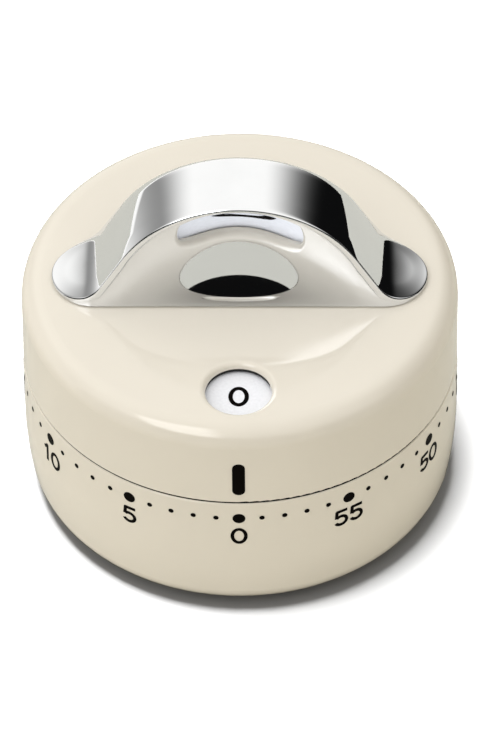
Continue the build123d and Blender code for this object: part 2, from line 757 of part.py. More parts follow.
def build_frame():
    """Write the plates, with all that is fixed between, below and above them."""
    pivots = [(p, pivot_radius + fit) for p in (second_place, third_place, escape_place, balance_place)]
    pillars = [(p, small_screw + 0.1) for p in pillar_places]
    lower = [((0, 0), arbor_pivot + fit), (hammer_place, hammer_pivot_radius)]
    lower += [(spring_post_place, rivet_radius)]
    lower += [(p, large_screw + 0.1) for p in post_places]
    lower += [(p, bell_rivet_radius) for p in bell_rivet_places]
    upper = [((0, 0), arbor_radius + fit)] + [(p, small_screw + screw_play) for p in disc_post_places]
    save("lower_plate", plate(lower_plate_low, lower_plate_high, True, pivots + pillars + lower))
    save("upper_plate", plate(upper_plate_low, upper_plate_high, False, pivots + pillars + upper))
    save("plate_pillars", *copies(pillar_places, tube, lower_plate_high, upper_plate_low, 2.0, small_screw))
    save("pillar_screws", *copies(pillar_places, screw, lower_plate_low, False, 5.0, small_screw, 1.9, 1.1),
         *copies(pillar_places, screw, upper_plate_high, True, 5.0, small_screw, 1.9, 1.1))
    save("movement_screws", *copies(post_places, screw, lower_plate_high, True, 5.0, large_screw, 2.2, 1.2))
    save("bell", bell())
    save("bell_post", bell_post())
    bell_rivets = copies(bell_rivet_places, rod, bell_flange_low, lower_plate_high, bell_rivet_radius)
    save("bell_rivets", *bell_rivets)
    save("bell_screw", screw((0, 0), bell_high - 0.8, False, 2.2, 1.2, 2.6, 1.4))
    save("mainspring", mainspring())
    save("spring_post", rod(spring_post_place, lower_plate_low, spring_high + 0.4, rivet_radius))
    save("number_disc", number_disc())
    save("disc_numerals", *disc_numerals())
    save("disc_posts", *copies(disc_post_places, tube, upper_plate_high, disc_web_low, 2.4, small_screw))
    save("disc_screws", *copies(disc_post_places, screw, disc_web_high, True, 5.0, small_screw, 2.1, 1.1),
         *copies(disc_post_places, screw, upper_plate_low, False, 5.0, small_screw, 1.9, 0.9))
    save("thrust_washer", tube((0, 0), upper_plate_high, collar_low, arbor_radius + 2.1, arbor_radius + 0.3))
    save("stop_post", rod(stop_post_place, disc_web_low, disc_web_high + 2.2, peg_radius))
    save("hammer_pivot", hammer_pivot())


def build_cap():
    """Write the cap with all that turns with it."""
    save("top_cap", top_cap())
    save("grip", grip())
    save("grip_screws", *copies(grip_screw_places, screw, cap_under, False, 6.0, small_screw, 2.3, 1.3))
    save("index_mark", index_mark())
    save("main_arbor", main_arbor())
    clip = tube((0, 0), clip_low, clip_high, clip_groove + 1.2, clip_groove)
    save("hub_clip", clip - Pos(0, -hub_radius, clip_low + 0.5) * Box(5, 6, 3))
    save("stop_pin", rod(stop_pin_place, disc_web_high + 0.4, cap_under + 0.9, peg_radius))
    save("main_wheel", main_wheel())
    save("ratchet_wheel", ratchet_wheel())
    save("click", click())
    save("click_spring", click_spring())
    rivet_high = main_wheel_low + main_wheel_thickness + 1.1
    save("click_rivet", rod(click_place, main_wheel_low, rivet_high, rivet_radius))


def build_train():
    """Write the wheels and arbors of the train, the balance and the hammer."""
    second_arbor = train_arbor(second_place, main_wheel_low, main_wheel_thickness, main_module, second_turn)
    third_arbor = train_arbor(third_place, second_wheel_low, wheel_thickness, second_module, third_turn)
    escape_arbor = train_arbor(escape_place, third_wheel_low, wheel_thickness, third_module, escape_turn)
    save("second_arbor", second_arbor)
    save("second_wheel", wheel(second_place, second_wheel_low, second_teeth, second_module, second_turn))
    save("third_arbor", third_arbor)
    save("third_wheel", wheel(third_place, third_wheel_low, third_teeth, third_module, third_turn))
    save("escape_arbor", escape_arbor)
    save("escape_wheel", escape_wheel())
    save("balance_staff", arbor_rod(balance_place))
    save("pallet_anchor", pallet_anchor())
    save("balance_wheel", balance_wheel())
    save("hammer_arm", hammer_arm())
    save("hammer_head", hammer_head())


if __name__ == "__main__":
    build_case()
    build_frame()
    build_cap()
    build_train()
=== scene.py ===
"""Mechanical kitchen timer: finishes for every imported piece, and the studio it stands in."""
import json
import math

import bmesh
import bpy
from bpy.props import FloatProperty, FloatVectorProperty, PointerProperty
from mathutils import Matrix, Vector


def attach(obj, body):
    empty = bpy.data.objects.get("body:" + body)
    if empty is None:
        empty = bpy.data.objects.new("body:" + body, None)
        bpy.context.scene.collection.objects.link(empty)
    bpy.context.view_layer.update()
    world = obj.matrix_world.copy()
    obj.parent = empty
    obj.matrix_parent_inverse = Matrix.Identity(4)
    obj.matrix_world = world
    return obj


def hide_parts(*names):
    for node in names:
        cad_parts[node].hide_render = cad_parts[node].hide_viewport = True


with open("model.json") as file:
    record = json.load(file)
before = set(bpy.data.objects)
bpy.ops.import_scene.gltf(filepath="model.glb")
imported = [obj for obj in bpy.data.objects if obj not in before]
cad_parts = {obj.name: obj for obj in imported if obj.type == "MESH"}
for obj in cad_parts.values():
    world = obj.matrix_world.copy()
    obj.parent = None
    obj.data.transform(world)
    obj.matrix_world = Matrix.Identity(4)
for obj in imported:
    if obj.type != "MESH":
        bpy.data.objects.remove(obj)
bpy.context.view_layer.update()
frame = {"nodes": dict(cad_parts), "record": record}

bl_info = {
    "name": "Kitchen timer",
    "version": (1, 0, 0),
    "blender": (4, 5, 0),
    "location": "View3D > Sidebar > Timer",
    "description": "Finishes and studio for a wind-up kitchen timer",
    "category": "Object",
}

MM = 0.001
MERGE = 0.001 * MM          # points nearer than this are one point

# Bare moulding that the spray gun never reaches inside, and the same black used as painted shade round the seam and
# as painted shadow on the window's far wall.
BARE_FOOT = 20 * MM         # its lowest level, hidden inside the drum
BARE_TOP = 45 * MM          # its highest level, up inside the cap
PAINTED_SHADOW_TOP = 46.5 * MM    # highest level of the painted shadow on the window's far wall
PAINTED_SHADOW_WAY = (-0.35, 1, 0)     # direction from the window's near wall to its far wall, where the shadow is painted
PAINTED_SHADOW_LINE = -28.4 * MM       # where the painted shadow on the far wall begins, along that direction
BARE_WALL = 39 * MM         # radius of the bare inner walls
BARE_LID = 36 * MM          # the same under the cap's rounded shoulder
LID_FROM, LID_TO = 40 * MM, 41 * MM     # levels between which one radius turns into the other
SEAM = 29.6 * MM            # level of the seam between drum and cap
SEAM_SHADE_HALF = 1 * MM          # half the height of the band of painted shade round it
SEAM_SHADE_STEP = 0.7 * MM        # how much further out the faces in that band are painted black, as shade in the seam

# Rows of the grip's mesh, and the shape of its finger scoop.
CROWN_STEPS, SHOULDER_STEPS, EDGE_STEPS = 8, 12, 8      # over the strap's half width
END_STEPS, STRAP_STEPS, SCOOP_ROWS = 40, 60, 56         # round an end, along half the strap, up the scoop
THIN_SCOOP = 0.15 * MM      # a scoop lower than this is left out, because its rows would merge unevenly
SOFT_FOOT = 1.13            # power with which the scoop leaves its foot

GREY_CORNER = 0.72          # darkness of the tent's left corner; the right one is 1
DEEP_CORNER = 3.0           # power that deepens the shade of the right corner


def linear(code):
    """Linear RGB of an sRGB hex colour such as EFE6D6."""
    values = [int(code[i:i + 2], 16) / 255 for i in (0, 2, 4)]
    return tuple(v / 12.92 if v <= 0.04045 else ((v + 0.055) / 1.055) ** 2.4 for v in values)


def colour(label, words, code):
    """Colour setting, given as sRGB hex."""
    return FloatVectorProperty(name=label, description=words, subtype="COLOR", size=3, min=0, max=1,
                               default=linear(code))


def size(label, words, millimetres):
    """Length setting, given in millimetres."""
    return FloatProperty(name=label, description=words, unit="LENGTH", default=millimetres * MM)


def turn(label, words, degrees):
    """Angle setting, given in degrees."""
    return FloatProperty(name=label, description=words, subtype="ANGLE", default=math.radians(degrees))


def amount(label, words, value, most=100.0):
    """Plain number setting, from nothing up."""
    return FloatProperty(name=label, description=words, default=value, min=0, max=most)


def add_node(tree, kind, inputs=None, **settings):
    """Add a shader node, set its options, and set its inputs or link them to sockets or to other nodes."""
    node = tree.nodes.new("ShaderNode" + kind)
    for name, value in settings.items():
        setattr(node, name, value)
    live = [socket for socket in node.inputs if socket.enabled]
    for key, value in (inputs or {}).items():
        socket = live[key] if isinstance(key, int) else next(s for s in live if s.name == key)
        if isinstance(value, bpy.types.Node):
            value = next(s for s in value.outputs if s.enabled)
        if isinstance(value, bpy.types.NodeSocket):
            tree.links.new(value, socket)
        else:
            socket.default_value = value
    return node


def start_material(name):
    """New material with its tree emptied, and the Object coordinates in metres."""
    material = bpy.data.materials.new(name)
    material.use_nodes = True
    tree = material.node_tree
    tree.nodes.clear()
    return material, tree, add_node(tree, "TexCoord").outputs["Object"]


def tint(rgb, gain=1.0):
    """A colour made a little lighter or darker, ready for a colour input."""
    return (*(min(1.0, c * gain) for c in rgb), 1.0)


def paint(nodes, material):
    """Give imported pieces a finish."""
    for name in nodes:
        slots = frame["nodes"][name].data.materials
        slots.clear()
        slots.append(material)


def finish_mesh(shape, name):
    """Mesh of a finished shape, its faces smooth and its normals outward."""
    bmesh.ops.remove_doubles(shape, verts=shape.verts[:], dist=MERGE)
    bmesh.ops.recalc_face_normals(shape, faces=shape.faces[:])
    for face in shape.faces:
        face.smooth = True
    mesh = bpy.data.meshes.new(name)
    shape.to_mesh(mesh)
    shape.free()
    return mesh


def bare_and_painted_shade(tree, place):
    """Mask of the bare black inside of drum and cap, which the spray gun never reaches, and of black painted as shade
    on the faces round the seam and as shadow on the window's far wall.
    """
    level = add_node(tree, "SeparateXYZ", {"Vector": place}).outputs["Z"]
    # Painted shadow: the window's far wall, past this line, is blackened.
    far = add_node(tree, "VectorMath", {0: place, 1: PAINTED_SHADOW_WAY}, operation="DOT_PRODUCT")
    far = add_node(tree, "Math", {0: far, 1: PAINTED_SHADOW_LINE}, operation="GREATER_THAN")
    top = add_node(tree, "MapRange", {"Value": far, "To Min": BARE_TOP, "To Max": PAINTED_SHADOW_TOP})
    flat = add_node(tree, "VectorMath", {0: place, 1: (1, 1, 0)}, operation="MULTIPLY")
    reach = add_node(tree, "VectorMath", {0: flat}, operation="LENGTH")
    limit = add_node(tree, "MapRange", {"Value": level, "From Min": LID_FROM, "From Max": LID_TO,
                                        "To Min": BARE_WALL, "To Max": BARE_LID})
    # Painted shade: the faces round the seam are blackened so that the gap reads as a dark line.
    seam = add_node(tree, "Math", {0: level, 1: SEAM, 2: SEAM_SHADE_HALF}, operation="COMPARE")
    limit = add_node(tree, "Math", {0: seam, 1: SEAM_SHADE_STEP, 2: limit}, operation="MULTIPLY_ADD")
    within = add_node(tree, "Math", {0: reach, 1: limit}, operation="LESS_THAN")
    below = add_node(tree, "Math", {0: level, 1: top}, operation="LESS_THAN")
    above = add_node(tree, "Math", {0: level, 1: BARE_FOOT}, operation="GREATER_THAN")
    between = add_node(tree, "Math", {0: below, 1: above}, operation="MULTIPLY")
    return add_node(tree, "Math", {0: within, 1: between}, operation="MULTIPLY")


def lacquered_abs(rgb, bare):
    """Black ABS moulding sprayed outside with cream gloss lacquer: mirror-like at a slant, with faint orange peel;
    the bare black also stands as painted shade in the seam and as painted shadow on the window's far wall.
    """
    material, tree, place = start_material("abs_cream_gloss_lacquer")
    inside = bare_and_painted_shade(tree, place)
    clouds = add_node(tree, "TexNoise", {"Vector": place, "Scale": 1 / (24 * MM), "Detail": 2})
    clouds = add_node(tree, "MapRange", {"Value": clouds, "From Min": 0.3, "From Max": 0.7})
    film = add_node(tree, "Mix", {"Factor": clouds, "A": tint(rgb, 0.985), "B": tint(rgb, 1.01)}, data_type="RGBA")
    # Bare black inside, plus painted shade round the seam and painted shadow on the window's far wall.
    body = add_node(tree, "Mix", {"Factor": inside, "A": film, "B": tint(bare)}, data_type="RGBA")
    peel = add_node(tree, "TexNoise", {"Vector": place, "Scale": 1 / (1.6 * MM), "Detail": 1})
    peel = add_node(tree, "Bump", {"Height": peel, "Strength": 0.035, "Distance": 0.05 * MM})
    wear = add_node(tree, "TexNoise", {"Vector": place, "Scale": 1 / (9 * MM), "Detail": 2})
    wear = add_node(tree, "MapRange", {"Value": wear, "To Min": 0.04, "To Max": 0.07})
    shine = add_node(tree, "MapRange", {"Value": inside, "To Min": 0.5, "To Max": 0.05})
    shader = add_node(tree, "BsdfPrincipled", {"Base Color": body, "Roughness": wear, "IOR": 1.5,
                                               "Specular IOR Level": shine, "Normal": peel})
    add_node(tree, "OutputMaterial", {"Surface": shader})
    return material


def polished_chrome(rgb):
    """Zinc casting with bright chrome plate: neutral, almost a mirror, with faint polishing haze."""
    material, tree, place = start_material("zinc_casting_bright_chrome")
    haze = add_node(tree, "TexNoise", {"Vector": place, "Scale": 1 / (6 * MM), "Detail": 3})
    blend = add_node(tree, "MapRange", {"Value": haze, "From Min": 0.3, "From Max": 0.7})
    plate = add_node(tree, "Mix", {"Factor": blend, "A": tint(rgb, 0.97), "B": tint(rgb)}, data_type="RGBA")
    patchy = add_node(tree, "MapRange", {"Value": haze, "To Min": 0.01, "To Max": 0.03})
    shader = add_node(tree, "BsdfPrincipled", {"Base Color": plate, "Metallic": 1.0, "Roughness": patchy})
    add_node(tree, "OutputMaterial", {"Surface": shader})
    return material


def printed_ink(rgb):
    """Pad-printed ink: dense, half matt, with the slight unevenness of the pad."""
    material, tree, place = start_material("pad_printed_ink")
    grain = add_node(tree, "TexNoise", {"Vector": place, "Scale": 1 / (0.35 * MM), "Detail": 3})
    blend = add_node(tree, "MapRange", {"Value": grain, "From Min": 0.3, "From Max": 0.8})
    film = add_node(tree, "Mix", {"Factor": blend, "A": tint(rgb), "B": tint(rgb, 1.8)}, data_type="RGBA")
    patchy = add_node(tree, "MapRange", {"Value": grain, "To Min": 0.35, "To Max": 0.5})
    shader = add_node(tree, "BsdfPrincipled", {"Base Color": film, "Roughness": patchy, "IOR": 1.48,
                                               "Specular IOR Level": 0.02})
    add_node(tree, "OutputMaterial", {"Surface": shader})
    return material


def moulded_plastic(name, rgb, rough, grain_size, depth):
    """Moulded plastic or rubber with spark-eroded grain, which softens the highlight; coarser than real, to show."""
    material, tree, place = start_material(name)
    grain = add_node(tree, "TexNoise", {"Vector": place, "Scale": 1 / grain_size, "Detail": 3})
    blend = add_node(tree, "MapRange", {"Value": grain, "From Min": 0.25, "From Max": 0.75})
    body = add_node(tree, "Mix", {"Factor": blend, "A": tint(rgb, 0.95), "B": tint(rgb, 1.04)}, data_type="RGBA")
    relief = add_node(tree, "Bump", {"Height": grain, "Strength": 0.2, "Distance": depth})
    patchy = add_node(tree, "MapRange", {"Value": grain, "To Min": rough - 0.05, "To Max": rough + 0.05})
    shader = add_node(tree, "BsdfPrincipled", {"Base Color": body, "Roughness": patchy, "IOR": 1.5, "Normal": relief})
    add_node(tree, "OutputMaterial", {"Surface": shader})
    return material


def worked_metal(name, rgb, rough, stretch):
    """Rolled or turned metal: lines that run one way and streak the highlight; coarser than real, to show."""
    material, tree, place = start_material(name)
    drawn = add_node(tree, "Mapping", {"Vector": place, "Scale": stretch})
    lines = add_node(tree, "TexNoise", {"Vector": drawn, "Scale": 1 / (0.4 * MM), "Detail": 3})
    blend = add_node(tree, "MapRange", {"Value": lines, "From Min": 0.3, "From Max": 0.7})
    body = add_node(tree, "Mix", {"Factor": blend, "A": tint(rgb, 0.88), "B": tint(rgb)}, data_type="RGBA")
    patchy = add_node(tree, "MapRange", {"Value": lines, "To Min": rough - 0.06, "To Max": rough + 0.06})
    shader = add_node(tree, "BsdfPrincipled", {"Base Color": body, "Metallic": 1.0, "Roughness": patchy})
    add_node(tree, "OutputMaterial", {"Surface": shader})
    return material


def white_paper(bounce_rgb, mirror_rgb, paper_rgb):
    """Matt paper sheet under a strong lamp: white to the camera, toned down where it lights or shows in the timer."""
    material, tree, _ = start_material("white_paper_sheet")
    paths = add_node(tree, "LightPath").outputs
    bounce = add_node(tree, "BsdfDiffuse", {"Color": tint(bounce_rgb)})
    mirror = add_node(tree, "BsdfDiffuse", {"Color": tint(mirror_rgb)})
    paper = add_node(tree, "BsdfDiffuse", {"Color": tint(paper_rgb)})
    unseen = add_node(tree, "MixShader", {"Fac": paths["Is Glossy Ray"], 1: bounce, 2: mirror})
    sheet = add_node(tree, "MixShader", {"Fac": paths["Is Camera Ray"], 1: unseen, 2: paper})
    add_node(tree, "OutputMaterial", {"Surface": sheet})
    return material


class TimerFinish(bpy.types.PropertyGroup):
    """Colours of the timer."""
    cream: colour("Cream", "Drum and cap", "E6DFD1")
    chrome: colour("Chrome", "Grip bar", "EAEDF2")
    ink: colour("Ink", "Dots, numbers and index", "060403")
    disc: colour("Disc", "Number disc under the window", "F2F3F7")
    # The cover colour is also the painted shade round the seam and the painted shadow on the window's far wall.
    cover: colour("Cover", "Bottom cover, and bare moulding of drum and cap", "2B2B2C")
    rubber: colour("Rubber", "Feet", "1D1D1D")
    brass: colour("Brass", "Wheels", "C9A45A")
    steel: colour("Steel", "Plates, arbors and screws", "A9ABAE")
    blued: colour("Blued steel", "Mainspring", "4A5468")
    acetal: colour("Acetal", "Escape wheel and anchor", "DAD6CA")


class TimerGrip(bpy.types.PropertyGroup):
    """Sizes of the grip bar."""
    seat: size("Seat", "Top of the cap that the grip stands on", 47.7)
    half_length: size("Half length", "Middle to tip", 34.4)
    half_depth: size("Half depth", "Middle to front face, at the foot", 7.9)
    height: size("Height", "Crown above the cap", 25.2)
    crown_radius: size("Crown radius", "Arc over the top", 24.8)
    riser_length: size("Riser length", "Straight part of each shoulder", 8.1)
    foot_radius: size("Foot radius", "Hollow arc at the foot of each shoulder", 7.0)
    edge_round: size("Edge round", "Rounding along the strap", 0.55)
    strap_radius: size("Strap radius", "Slight crown across the strap", 45.0)
    shoulder_radius: size("Shoulder radius", "Stronger curve towards both edges of the strap", 7.0)
    shoulder: size("Shoulder", "Width of that curve", 3.0)
    tip_flat: amount("Tip flat", "Share of the crown that runs out towards a tip", 0.5, 0.9)
    strap: size("Strap", "Metal above the finger scoop", 1.8)
    crevice: size("Crevice", "Height of the shadow line between grip and cap", 0.28)
    recess: size("Recess", "Depth of that line", 0.9)
    riser_angle: turn("Riser angle", "Slope of the shoulders", 59.5)
    pad_angle: turn("Pad angle", "Slope where a pad begins", 26.0)
    tip_angle: turn("Tip angle", "Slope at the tip of a pad", 6.0)
    draft: turn("Draft", "Lean of the front and back faces", 2.4)
    scoop: amount("Scoop", "Depth of the finger scoop as a share of its height", 0.1755, 1.0)
    scoop_peak: amount("Scoop peak", "Height of its deepest line as a share of its height", 0.84, 0.9)
    scoop_reach: size("Scoop reach", "Middle to where the scoop runs out", 33.0)


class TimerStudio(bpy.types.PropertyGroup):
    """Camera and light of the studio."""
    lens: FloatProperty(name="Lens", description="Focal length in millimetres", default=464.7, unit="CAMERA")
    elevation: turn("Elevation", "Camera above the horizon", 45.709)
    azimuth: turn("Azimuth", "Camera to the right of the front", 0.8)
    roll: turn("Roll", "Turn about the line of sight", -0.55)
    distance: size("Distance", "Camera to the point it looks at", 1753.7)
    aim: size("Aim", "Level of that point on the timer's axis", 25.7)
    aim_down: size("Aim down", "How far it is then moved down in the picture", 1.3)
    aim_left: size("Aim left", "How far it is then moved to the left in the picture", 0.09)
    table_radius: size("Table", "Radius of the table top", 410)
    table_lamp: amount("Table lamp", "Strength of the lamp that lights only the table", 23.0)
    table_spread: turn("Table spread", "Angle over which that lamp softens the shadow", 20)
    table_fall: FloatVectorProperty(name="Table fall", description="Direction of its light", subtype="DIRECTION",
                                    default=(4.0, -1.0, -41.0))
    bounce: colour("Bounce", "Table as it lights the timer", "595751")
    mirror: colour("Mirror", "Table as it shows in chrome and lacquer", "52514C")
    paper: colour("Paper", "Table as the camera sees it, under its own lamp", "898989")
    ambient: amount("Ambient", "Strength of the tent as it lights the timer", 1.4)
    tent_low: colour("Tent low", "Tent away from its bright side", "817C6F")
    tent_side: FloatVectorProperty(name="Tent side", description="Bright side of the tent", subtype="DIRECTION",
                                   default=(-0.4, -0.08, 1.05))
    room: amount("Room", "Strength of the tent in reflections", 1.18)
    room_light: colour("Room light", "Its walls", "FFFCF6")
    room_dark: colour("Room dark", "Its dark corners", "0D0D0D")
    softbox: amount("Softbox", "Strength of the bright strip in reflections", 4.0)
    key: FloatProperty(name="Key", description="Power of the large lamp at the back left", default=0.5, unit="POWER")
    key_size: size("Key size", "Side of that lamp", 700)
    key_place: FloatVectorProperty(name="Key place", description="Middle of that lamp", subtype="TRANSLATION",
                                   default=(-0.55, 0.35, 0.9))
    key_aim: size("Key aim", "Level on the timer's axis that it points at", 30)


class TIMER_OT_shells(bpy.types.Operator):
    """Lacquer the drum and the cap"""
    bl_idname = "timer.shells"
    bl_label = "Drum and cap"

    def execute(self, context):
        finish = context.scene.timer_finish
        paint(("drum_shell", "top_cap"), lacquered_abs(finish.cream, finish.cover))
        return {"FINISHED"}


class TIMER_OT_grip(bpy.types.Operator):
    """Model the grip bar with its rounded strap and finger scoops, and plate it"""
    bl_idname = "timer.grip"
    bl_label = "Grip bar"

    def execute(self, context):
        grip = context.scene.timer_grip
        shape = bmesh.new()
        self.lay_pill(shape, grip)
        self.bend(shape, grip)
        self.drop_sides(shape, grip)
        mesh = finish_mesh(shape, "grip_bar")
        mesh.materials.append(polished_chrome(context.scene.timer_finish.chrome))
        bar = bpy.data.objects.new("grip_bar", mesh)
        context.scene.collection.objects.link(bar)
        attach(bar, "cap")
        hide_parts("grip")
        return {"FINISHED"}

    def lay_pill(self, shape, grip):
        """Flat strap with round ends, rolled edges and a slight crown, its middle line at height zero."""
        tip = grip.half_length - grip.half_depth
        middle = math.asin((grip.half_depth - grip.shoulder) / grip.strap_radius)
        edge = math.asin((grip.shoulder - grip.edge_round + grip.shoulder_radius * math.sin(middle))
                         / (grip.shoulder_radius - grip.edge_round))
        arcs = ((grip.strap_radius, middle, CROWN_STEPS), (grip.shoulder_radius, edge, SHOULDER_STEPS),
                (grip.edge_round, math.pi / 2, EDGE_STEPS))
        end, lean = [shape.verts.new((tip, 0, 0))], 0
        for radius, stop, steps in arcs:
            inward = Vector((0, math.sin(lean), -math.cos(lean))) * radius
            end = bmesh.ops.spin(shape, geom=end, cent=end[0].co + inward, axis=(1, 0, 0),
                                 angle=stop - lean, steps=steps)["geom_last"]
            lean = stop
        bmesh.ops.spin(shape, geom=shape.verts[:] + shape.edges[:], cent=(tip, 0, 0), axis=(0, 0, 1),
                       angle=math.pi, steps=END_STEPS)
        bmesh.ops.remove_doubles(shape, verts=shape.verts[:], dist=MERGE)
        row = [e for e in shape.edges if all(abs(v.co.x - tip) < MERGE for v in e.verts)]
        for _ in range(STRAP_STEPS):
            made = bmesh.ops.extrude_edge_only(shape, edges=row)["geom"]
            bmesh.ops.translate(shape, verts=[v for v in made if isinstance(v, bmesh.types.BMVert)],
                                vec=(-tip / STRAP_STEPS, 0, 0))
            row = [e for e in made if isinstance(e, bmesh.types.BMEdge)
                   and abs(e.verts[0].co.x - e.verts[1].co.x) < MERGE]
        bmesh.ops.mirror(shape, geom=shape.verts[:] + shape.edges[:] + shape.faces[:], axis="X", merge_dist=MERGE)
        for vert in shape.verts:
            beyond = max(0, abs(vert.co.x) - tip) / grip.half_depth
            vert.co.z *= 1 - grip.tip_flat * beyond ** 2

    def path(self, grip, x):
        """Height of the strap above the cap, and the cosine of its slope, at a distance from the middle."""
        x = min(abs(x), grip.half_length)
        rise, pad, tip = grip.riser_angle, grip.pad_angle, grip.tip_angle
        arc_x, arc_z = grip.crown_radius * math.sin(rise), grip.crown_radius * (1 - math.cos(rise))
        foot_x = arc_x + grip.riser_length * math.cos(rise)
        foot_z = arc_z + grip.riser_length * math.sin(rise)
        pad_x = foot_x + grip.foot_radius * (math.sin(rise) - math.sin(pad))
        pad_z = foot_z + grip.foot_radius * (math.cos(pad) - math.cos(rise))
        if x < arc_x:
            slope = math.asin(x / grip.crown_radius)
            return grip.height - grip.crown_radius * (1 - math.cos(slope)), math.cos(slope)
        if x < foot_x:
            return grip.height - arc_z - (x - arc_x) * math.tan(rise), math.cos(rise)
        if x < pad_x:
            slope = math.asin(math.sin(rise) - (x - foot_x) / grip.foot_radius)
            return grip.height - foot_z - grip.foot_radius * (math.cos(slope) - math.cos(rise)), math.cos(slope)
        radius = (grip.half_length - pad_x) / (math.sin(pad) - math.sin(tip))
        slope = math.asin(math.sin(pad) - (x - pad_x) / radius)
        return grip.height - pad_z - radius * (math.cos(slope) - math.cos(pad)), math.cos(slope)

    def bend(self, shape, grip):
        """Raise the flat strap along the bell-shaped outline, and draw it in towards the crown."""
        for vert in shape.verts:
            vert.co.z += self.path(grip, vert.co.x)[0]
            vert.co.y *= 1 - vert.co.z * math.tan(grip.draft) / grip.half_depth
            vert.co.z += grip.seat

    def drop_sides(self, shape, grip):
        """Carry the edge of the strap down to the cap, with a hollow scoop and a shadow line at the foot."""
        edges = [e for e in shape.edges if e.is_boundary]
        brow = self.drop(shape, edges, lambda x, z: min(z, self.levels(grip, x)[0]), grip)
        for edge in brow:
            edge.smooth = False
        foot = self.drop(shape, brow, lambda x, z: min(z, self.levels(grip, x)[1]), grip, cuts=SCOOP_ROWS)
        for edge in foot:
            edge.smooth = False
        sole = self.drop(shape, foot, lambda x, z: z, grip)
        tip = grip.half_length - grip.half_depth
        for vert in {v for e in sole for v in e.verts}:
            spine = Vector((min(tip, max(-tip, vert.co.x)), 0, vert.co.z))
            vert.co = vert.co.lerp(spine, grip.recess / grip.half_depth)
        base = self.drop(shape, sole, lambda x, z: grip.seat, grip)
        bmesh.ops.contextual_create(shape, geom=base)

    def levels(self, grip, x):
        """Heights of the upper and lower edge of the scoop, which are the same where there is none."""
        height, slope = self.path(grip, x)
        low = grip.seat + grip.crevice
        high = grip.seat + height - grip.strap / slope
        return high if high - low > THIN_SCOOP else low, low

    def bowl(self, share, peak):
        """Depth of the scoop up its height: a soft foot, a long hollow and a short undercut below the strap."""
        if share > peak:
            return 1 - ((share - peak) / (1 - peak)) ** 2
        return (share / peak) ** SOFT_FOOT * (1 + SOFT_FOOT - SOFT_FOOT * share / peak)

    def drop(self, shape, edges, level, grip, cuts=0):
        """Extrude a ring of edges down to a level, and hollow the new wall if it is cut into rows."""
        made = bmesh.ops.extrude_edge_only(shape, edges=edges)["geom"]
        ring = [v for v in made if isinstance(v, bmesh.types.BMVert)]
        below = [e for e in made if isinstance(e, bmesh.types.BMEdge)]
        upper = {v for e in edges for v in e.verts}
        posts = [e for v in ring for e in v.link_edges if e.other_vert(v) in upper]
        for vert in ring:
            old, vert.co.z = vert.co.z, level(vert.co.x, vert.co.z)
            vert.co.y += math.copysign((old - vert.co.z) * math.tan(grip.draft), vert.co.y)
        if cuts:
            inner = bmesh.ops.subdivide_edges(shape, edges=posts, cuts=cuts, use_grid_fill=True)["geom_inner"]
            self.hollow([v for v in inner if isinstance(v, bmesh.types.BMVert)], grip)
        return below

    def hollow(self, verts, grip):
        """Press the rows of a wall in to the depth of the scoop, which fades out towards the tips."""
        for vert in verts:
            high, low = self.levels(grip, vert.co.x)
            if high > low:
                share = min(1, max(0, (vert.co.z - low) / (high - low)))
                fade = max(0, 1 - (vert.co.x / grip.scoop_reach) ** 2)
                depth = grip.scoop * (high - low) * fade * self.bowl(share, grip.scoop_peak)
                vert.co.y -= math.copysign(depth, vert.co.y)


class TIMER_OT_marks(bpy.types.Operator):
    """Ink the dots, the numbers and the index"""
    bl_idname = "timer.marks"
    bl_label = "Printed marks"

    def execute(self, context):
        paint(("dial_dots", "dial_numerals", "disc_numerals", "index_mark"),
              printed_ink(context.scene.timer_finish.ink))
        return {"FINISHED"}


class TIMER_OT_disc(bpy.types.Operator):
    """Finish the number disc"""
    bl_idname = "timer.disc"
    bl_label = "Number disc"

    def execute(self, context):
        finish = context.scene.timer_finish
        paint(("number_disc",), moulded_plastic("white_abs_moulded", finish.disc, rough=0.35,
                                                grain_size=0.5 * MM, depth=0.003 * MM))
        return {"FINISHED"}


class TIMER_OT_underside(bpy.types.Operator):
    """Finish the bottom cover and the feet"""
    bl_idname = "timer.underside"
    bl_label = "Underside"

    def execute(self, context):
        finish = context.scene.timer_finish
        paint(("base_cover",), moulded_plastic("black_abs_textured", finish.cover, rough=0.5,
                                               grain_size=0.6 * MM, depth=0.05 * MM))
        paint(("rubber_feet",), moulded_plastic("black_rubber_moulded", finish.rubber, rough=0.75,
                                                grain_size=0.3 * MM, depth=0.03 * MM))
        return {"FINISHED"}


class TIMER_OT_movement(bpy.types.Operator):
    """Finish the movement inside"""
    bl_idname = "timer.movement"
    bl_label = "Movement"

    def execute(self, context):
        finish = context.scene.timer_finish
        slots = {}
        for part in frame["record"]["subparts"]:
            slots.setdefault(part["material_slot"], []).append(part["node"])
        paint(slots["steel"], worked_metal("steel_zinc_plated", finish.steel, rough=0.35, stretch=(1, 0.08, 1)))
        paint(slots["bell_steel"], worked_metal("steel_nickel_plated", finish.steel, rough=0.2, stretch=(1, 1, 0.1)))
        paint(slots["spring_steel"], worked_metal("spring_steel_blued", finish.blued, rough=0.3, stretch=(1, 1, 0.1)))
        paint(slots["brass"], worked_metal("brass_rolled", finish.brass, rough=0.3, stretch=(0.08, 1, 1)))
        paint(slots["light_plastic"], moulded_plastic("acetal_moulded", finish.acetal, rough=0.4,
                                                      grain_size=0.3 * MM, depth=0.01 * MM))
        return {"FINISHED"}


